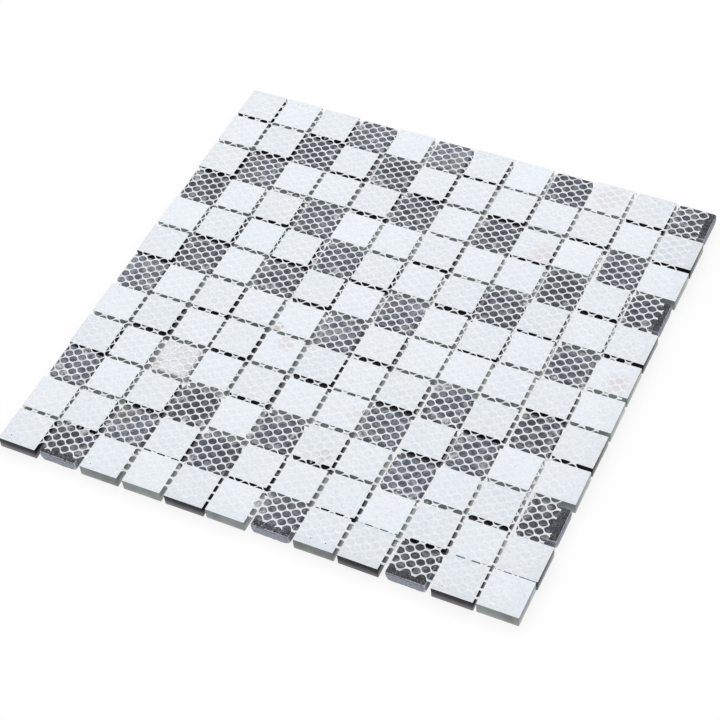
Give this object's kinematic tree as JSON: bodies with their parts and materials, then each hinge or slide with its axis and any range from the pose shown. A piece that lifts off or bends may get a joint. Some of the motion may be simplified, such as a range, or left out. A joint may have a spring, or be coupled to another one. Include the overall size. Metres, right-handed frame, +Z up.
{
  "type": "mosaic tile sheet",
  "caption": "Square sheet of small square glass and stone mosaic chips, lying face down, held in rows by a white glass-fibre net glued across their backs.",
  "frame": {"origin": "under the middle of the sheet, on the floor that the chips' faces lie on", "axes": "+Z up, from the faces of the chips (down) to the net on their backs (up); +X along a row, from the left chip to the right; +Y from the front row to the back row"},
  "size_m": [0.3046, 0.3036, 0.0085],
  "materials": {
    "white_glass": "bluish white back coat on pale grey-green glass",
    "dark_glass": "greenish white back coat on dark smoky glass",
    "grey_stone": "tumbled, matte, mottled dark grey with pale worn edges",
    "cream_stone": "tumbled, matte cream with tan spots",
    "net": "white coated glass-fibre strands with traces of clear glue"
  },
  "bodies": {
    "root": {"net_falling_strands": "net", "net_rising_strands": "net", "row_01_dark_glass": "dark_glass", "row_01_grey_stone": "grey_stone", "row_01_white_glass": "white_glass", "row_02_dark_glass": "dark_glass", "row_02_grey_stone": "grey_stone", "row_02_white_glass": "white_glass", "row_03_dark_glass": "dark_glass", "row_03_grey_stone": "grey_stone", "row_03_white_glass": "white_glass", "row_04_cream_stone": "cream_stone", "row_04_dark_glass": "dark_glass", "row_04_grey_stone": "grey_stone", "row_04_white_glass": "white_glass", "row_05_dark_glass": "dark_glass", "row_05_grey_stone": "grey_stone", "row_05_white_glass": "white_glass", "row_06_dark_glass": "dark_glass", "row_06_grey_stone": "grey_stone", "row_06_white_glass": "white_glass", "row_07_dark_glass": "dark_glass", "row_07_grey_stone": "grey_stone", "row_07_white_glass": "white_glass", "row_08_dark_glass": "dark_glass", "row_08_grey_stone": "grey_stone", "row_08_white_glass": "white_glass", "row_09_dark_glass": "dark_glass", "row_09_grey_stone": "grey_stone", "row_09_white_glass": "white_glass", "row_10_dark_glass": "dark_glass", "row_10_grey_stone": "grey_stone", "row_10_white_glass": "white_glass", "row_11_dark_glass": "dark_glass", "row_11_grey_stone": "grey_stone", "row_11_white_glass": "white_glass", "row_12_dark_glass": "dark_glass", "row_12_grey_stone": "grey_stone", "row_12_white_glass": "white_glass"}
  },
  "joints": []
}
